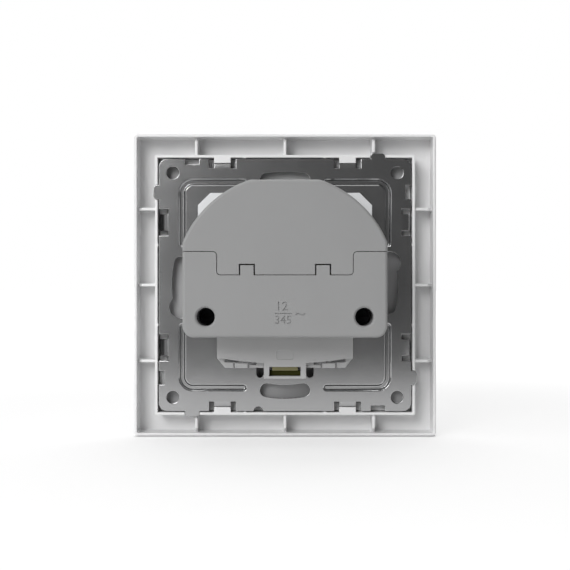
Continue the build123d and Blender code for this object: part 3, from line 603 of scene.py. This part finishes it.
# Where the sprung tongues bend down, their colour is a painted shade: near-black instead of zinc.
painted_shade_tongues = zinc_sheet.zone(Z=upper_tongue) + zinc_sheet.zone(Z=lower_tongue)
painted_shade_tongues = painted_shade_tongues * zinc_sheet.zone(X=tongue_reach, Y=tongue_depth)
zinc_sheet.feed("Base Color", zinc_sheet.blend(painted_shade_tongues, zinc_colour, (0.09, 0.09, 0.091)))
zinc_sheet.feed("Roughness", lines * 0.04 + bloom * 0.03 + 0.146)
zinc_sheet.relief(lines, 0.0005 * mm)
zinc_sheet.dress(pieces["mounting_plate"])
print("plate dressed")

# %% [markdown]
# ## Small metal pieces
#
# Screws and springs are bright steel, turned or drawn, and the two screws in the wells are made
# near-black, a painted shade for the deep wells. The contacts and the earth strap are brass,
# darkened to an olive colour that is partly a painted shade for the strap deep in its window: new
# brass is even, and handling leaves slightly darker patches on it. The jaw below the strap is
# near-black brass, a painted shade for the deep window.

# %% Metal finishes


def metal(name, light, dark, gloss, patch):
    """A bare metal in two close shades, with a gloss that dulls where it is darker."""
    finish = Finish(name, Metallic=1.0)
    clouds = finish.noise(patch, detail=4.0, roughness=0.6)
    finish.feed("Base Color", finish.blend(clouds, dark, light))
    finish.feed("Roughness", gloss + 0.2 - clouds * 0.2)
    finish.relief(finish.noise(0.1 * mm), 0.002 * mm)
    return finish


bright_steel = metal("bright_steel", (0.62, 0.61, 0.59), (0.5, 0.49, 0.48), 0.25, 1.5 * mm)
bright_steel.dress(solid["carrier_screws"], solid["centre_screw"])
# The screws in the wells are near-black: a painted shade for the deep wells.
blackened_steel = metal("blackened_steel", (0.035, 0.035, 0.038), (0.02, 0.02, 0.022), 0.45, 1 * mm)
blackened_steel.dress(solid["cover_screws"])
spring_steel = metal("spring_steel", (0.5, 0.5, 0.5), (0.4, 0.4, 0.4), 0.3, 2 * mm)
spring_steel.dress(solid["live_spring"], solid["neutral_spring"], solid["earth_spring"])
shell_steel = metal("shell_steel", (0.66, 0.66, 0.66), (0.58, 0.58, 0.58), 0.2, 3 * mm)
shell_steel.dress(solid["port_shells"])
# The brass is darkened to an olive colour: partly brass, partly a painted shade for the strap deep
# in its window.
brass_with_painted_shade = metal("brass_with_painted_shade", (0.27, 0.25, 0.14), (0.21, 0.2, 0.11), 0.22, 2.5 * mm)
brass_with_painted_shade.dress(pieces["earth_strap"], *contacts)
brass_with_painted_shade.dress(solid["live_contact"], solid["neutral_contact"], solid["header_pins"])
# Near-black brass for the jaw: a painted shade for the deep window.
painted_shade_brass = metal("painted_shade_brass", (0.05, 0.05, 0.015), (0.035, 0.035, 0.01), 0.45, 2.5 * mm)
painted_shade_brass.dress(shade_jaw)
print("metal pieces dressed")

# %% [markdown]
# ## The charger's electronics
#
# Little of them is ever seen, and each still gets what the real one has: laminate with a woven
# ground, dull ferrite, wound copper, dark sleeves and ceramic.

# %% Finishes of the electronics
laminate = Finish("laminate")
weave = laminate.noise(0.5 * mm, place=laminate.stretched((1, 1, 0.2)))
laminate.feed("Base Color", laminate.blend(weave, (0.02, 0.12, 0.05), (0.03, 0.2, 0.08)))
laminate.feed("Roughness", weave * 0.2 + 0.3)
laminate.dress(solid["main_board"], solid["port_board"])

winding = Finish("winding", Metallic=1.0)
turns = winding.noise(0.3 * mm, place=winding.stretched((0.05, 1, 0.05)))
winding.feed("Base Color", winding.blend(turns, (0.5, 0.2, 0.09), (0.75, 0.36, 0.18)))
winding.relief(turns, 0.05 * mm)
winding.dress(solid["choke"])

epoxy_nodes = ("controller_chip", "rectifier", "board_header")
plain_finishes = {
    "ferrite": ((0.05, 0.05, 0.055), (0.03, 0.03, 0.03), 0.7, ("transformer_core",)),
    "bobbin": ((0.75, 0.55, 0.12), (0.7, 0.5, 0.1), 0.4, ("transformer_bobbin",)),
    "can_sleeve": ((0.03, 0.04, 0.09), (0.02, 0.03, 0.07), 0.3, ("smoothing_cans", "output_can")),
    "epoxy": ((0.02, 0.02, 0.02), (0.012, 0.012, 0.012), 0.5, epoxy_nodes),
    "tongue": ((0.03, 0.03, 0.03), (0.02, 0.02, 0.02), 0.45, ("port_tongues",)),
    "ceramic": ((0.8, 0.78, 0.72), (0.75, 0.73, 0.66), 0.35, ("fuse",)),
}
for name, (pale, dark, gloss, nodes) in plain_finishes.items():
    finish = moulding(name, pale, dark, gloss, 0.2 * mm, 0.004 * mm, patch=2 * mm)
    finish.dress(*[solid[node] for node in nodes])
print("electronics dressed")

# %% [markdown]
# ## Floor and background
#
# The photograph shows the socket standing upright on a white table, with nothing behind it. The
# table is a plane under the frame's lower edge. To the camera and in mirrors it is partly a white
# glow, weak enough near the part to keep the soft shadow there, and to all other light it is a
# plain white surface. Under the part it has no glow, which leaves a thin dark line, so the part is
# seen to stand on it.

# %% Floor
table_size = 8.0
table_edge = 200 * mm
table_gap = 0.15 * mm
table_middle = (0, table_edge - table_size / 2, lowest[2] - table_gap)
bpy.ops.object.select_all(action="DESELECT")
bpy.ops.mesh.primitive_plane_add(size=table_size, location=table_middle)
floor = bpy.context.object
floor.name = "floor"
bpy.ops.object.transform_apply(location=True, rotation=True, scale=True)

floor_white = Finish("floor_white", Roughness=0.7)
floor_white.shader.inputs["Base Color"].default_value = (0.86, 0.86, 0.86, 1)
floor_white.dress(floor)


def rays(finish, *kinds):
    """1 for the kinds of ray that are named, and 0 for the rest."""
    path = finish.node("ShaderNodeLightPath")
    first, *others = [Signal(finish, path.outputs[f"Is {kind} Ray"]) for kind in kinds]
    return sum(others, first)


# The glow's share grows with the distance from the part, and farther off there is nothing else
glow_strength = 1.23
least_share = 0.46
share_starts, share_full = 120 * mm, 500 * mm
white_glow = {"Color": (1, 1, 1, 1), "Strength": glow_strength}
glow = floor_white.node("ShaderNodeEmission", {}, white_glow)
growth = {"From Min": share_starts, "From Max": share_full, "To Min": least_share, "To Max": 1.0}
growth["Value"] = floor_white.length(floor_white.place)
far_off = floor_white.node("ShaderNodeMapRange", {"interpolation_type": "SMOOTHSTEP"}, growth)
covered = floor_white.zone(X=(lowest[0], highest[0]), Y=(lowest[1], 0))
glow_share = rays(floor_white, "Camera", "Glossy", "Transmission")
glow_share = glow_share * Signal(floor_white, far_off.outputs["Result"]) * (1.0 - covered)
table_shaders = {0: glow_share, 1: floor_white.shader.outputs[0], 2: glow.outputs[0]}
table_mix = floor_white.node("ShaderNodeMixShader", {}, table_shaders)
floor_white.tree.links.new(table_mix.outputs[0], floor_white.output.inputs["Surface"])

# The world is white to the camera, a dim studio in mirrors and a faint light from all round
studio_light = 0.158
studio_glow = 0.115
world = bpy.data.worlds.new("studio")
bpy.context.scene.world = world
world.use_nodes = True
world_tree = world.node_tree
ray = world_tree.nodes.new("ShaderNodeLightPath")
background = world_tree.nodes["Background"]
background.inputs["Color"].default_value = (1, 1, 1, 1)
camera_step, glossy_step = (world_tree.nodes.new("ShaderNodeMath") for _ in range(2))
for step, kind, level in ((camera_step, "Camera", 1), (glossy_step, "Glossy", studio_glow)):
    step.operation = "MULTIPLY_ADD"
    world_tree.links.new(ray.outputs[f"Is {kind} Ray"], step.inputs[0])
    step.inputs[1].default_value = level - studio_light
camera_step.inputs[2].default_value = studio_light
world_tree.links.new(camera_step.outputs[0], glossy_step.inputs[2])
world_tree.links.new(glossy_step.outputs[0], background.inputs["Strength"])
print("white table and world ready")

# %% [markdown]
# ## Lights
#
# A large soft lamp stands high on the photograph's left, behind the camera, so the housing throws
# its shadow down to the right across the plate. Others fill in from above, from beyond the part,
# from the left and from low down. The two at the left are kept out of mirrors, because the plate
# would show them. Each lamp has a place, a size and a power, and whether mirrors show it.

# %% Lights
lamps = {
    "key_lamp": ((0.45, 1.15, 0.5), 0.5, 7.35, True),
    "top_lamp": ((0, 0.3, 1.2), 0.8, 3.6, True),
    "back_lamp": ((0, -0.8, 1.1), 1.2, 9.2, True),
    "left_lamp": ((1.2, 0.5, 0.2), 0.8, 3.1, False),
    "side_lamp": ((0.9, 0.8, 0.6), 0.6, 3.2, False),
    "low_lamp": ((0.5, 1.3, 0.02), 0.5, 1.3, True),
}
for name, (place, size, power, mirrored) in lamps.items():
    bpy.ops.object.light_add(type="AREA", location=place)
    lamp = bpy.context.object
    lamp.name = name
    lamp.data.size = size
    lamp.data.energy = power
    lamp.visible_glossy = mirrored
    lamp.rotation_euler = (-Vector(place)).to_track_quat("-Z", "Y").to_euler()
print(len(lamps), "lamps placed")

# %% [markdown]
# ## Camera
#
# The photograph looks straight at the back, level with its middle, from about 350 mm. The camera
# has the same turn as the mark's signs, which face it. Half of the picture's width is 0.229 of the
# distance across, and that with the sensor's width in millimetres gives the lens.

# %% Camera
view_distance = 350 * mm
half_view = 0.229
sensor_width = 36
bpy.ops.object.camera_add(location=(0, view_distance, 0), rotation=facing_out)
camera = bpy.context.object
camera.data.sensor_width = sensor_width
camera.data.lens = sensor_width / 2 / half_view
camera.data.clip_start = 10 * mm
bpy.context.scene.camera = camera
bpy.context.scene.view_settings.view_transform = "Standard"
print("camera at", view_distance / mm, "mm")
